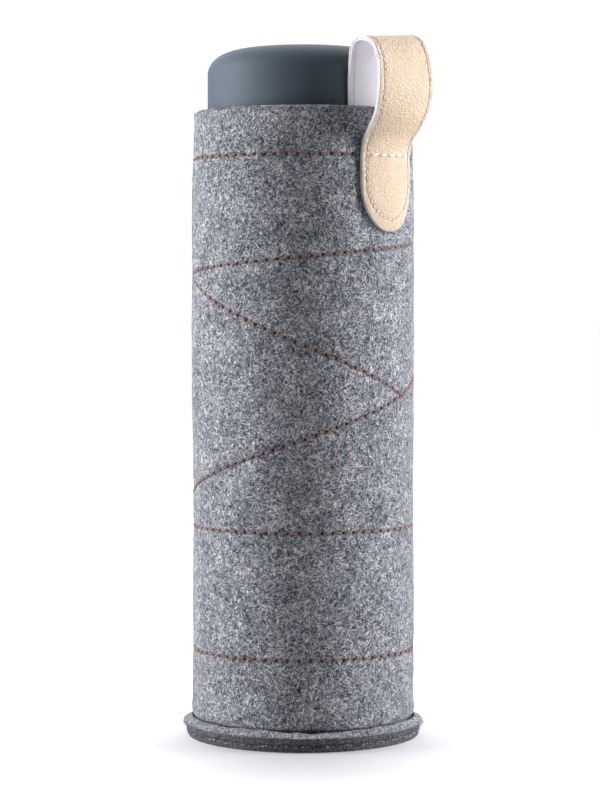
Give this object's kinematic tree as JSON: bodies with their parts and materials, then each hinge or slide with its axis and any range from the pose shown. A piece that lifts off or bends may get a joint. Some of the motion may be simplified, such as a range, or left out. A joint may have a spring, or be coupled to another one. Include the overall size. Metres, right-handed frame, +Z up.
{
  "type": "insulated flask in a felt sleeve",
  "caption": "Round vacuum flask with a screw-on cup lid, standing in a grey felt sleeve with zigzag topstitching and a leather pull loop.",
  "frame": {"origin": "on the sleeve's axis at the underside of the felt base", "axes": "+Z up along the sleeve's axis; the pull loop faces -Y and the sleeve's seam faces +Y"},
  "size_m": [0.0886, 0.0962, 0.255],
  "materials": {
    "felt": "thick pressed heather-grey wool felt",
    "orange_thread": "rust-orange topstitching thread",
    "grey_thread": "grey seam thread",
    "leather": "cream pebble-grained leather, matt",
    "lining": "pale lavender-grey brushed lining",
    "cream_thread": "off-white stitching thread",
    "slate_plastic": "soft-touch matt slate blue",
    "slate_paint": "satin slate-blue paint on steel",
    "steel": "brushed stainless steel",
    "dark_plastic": "dark moulded plastic",
    "foam": "rigid insulating foam",
    "silicone": "grey silicone"
  },
  "bodies": {
    "sleeve": {"felt_sleeve": "felt", "base_flange": "felt", "base_sole": "felt", "top_thread_left": "orange_thread", "top_thread_right": "orange_thread", "zigzag_thread_upper": "orange_thread", "zigzag_thread_lower": "orange_thread", "middle_thread": "orange_thread", "lower_thread": "orange_thread", "back_seam_thread": "grey_thread", "base_seam_thread": "grey_thread", "strap_leather": "leather", "strap_lining": "lining", "strap_edge_thread": "cream_thread", "strap_anchor_thread": "cream_thread"},
    "flask": {"flask_shell": "slate_paint", "inner_vessel": "steel", "foot_pad": "silicone", "neck_collar": "dark_plastic"},
    "stopper_ring": {"stopper_seal": "silicone"},
    "stopper": {"stopper_body": "dark_plastic", "stopper_core": "foam", "stopper_grip": "dark_plastic"},
    "lid_ring": {"cup_lid_gasket": "silicone"},
    "cup_lid": {"cup_lid_shell": "slate_plastic", "cup_lid_liner": "steel"}
  },
  "joints": [
    {"name": "flask_lift", "type": "slide", "parent": "sleeve", "child": "flask", "axis": [0, 0, 1], "range_m": [0, 0.23]},
    {"name": "lid_turn", "type": "hinge", "parent": "lid_ring", "child": "cup_lid", "pos_m": [0, 0, 0.21], "axis": [0, 0, 1], "range_deg": [0, 1080]},
    {"name": "lid_rise", "type": "slide", "parent": "flask", "child": "lid_ring", "axis": [0, 0, 1], "range_m": [0, 0.0091]},
    {"name": "stopper_turn", "type": "hinge", "parent": "stopper_ring", "child": "stopper", "pos_m": [0, 0, 0.2], "axis": [0, 0, 1], "range_deg": [0, 720]},
    {"name": "stopper_rise", "type": "slide", "parent": "flask", "child": "stopper_ring", "axis": [0, 0, 1], "range_m": [0, 0.0061]}
  ],
  "couplings": [
    {"joint": "lid_rise", "follows": "lid_turn", "m_per_rad": 0.00047746},
    {"joint": "stopper_rise", "follows": "stopper_turn", "m_per_rad": 0.00047746}
  ]
}
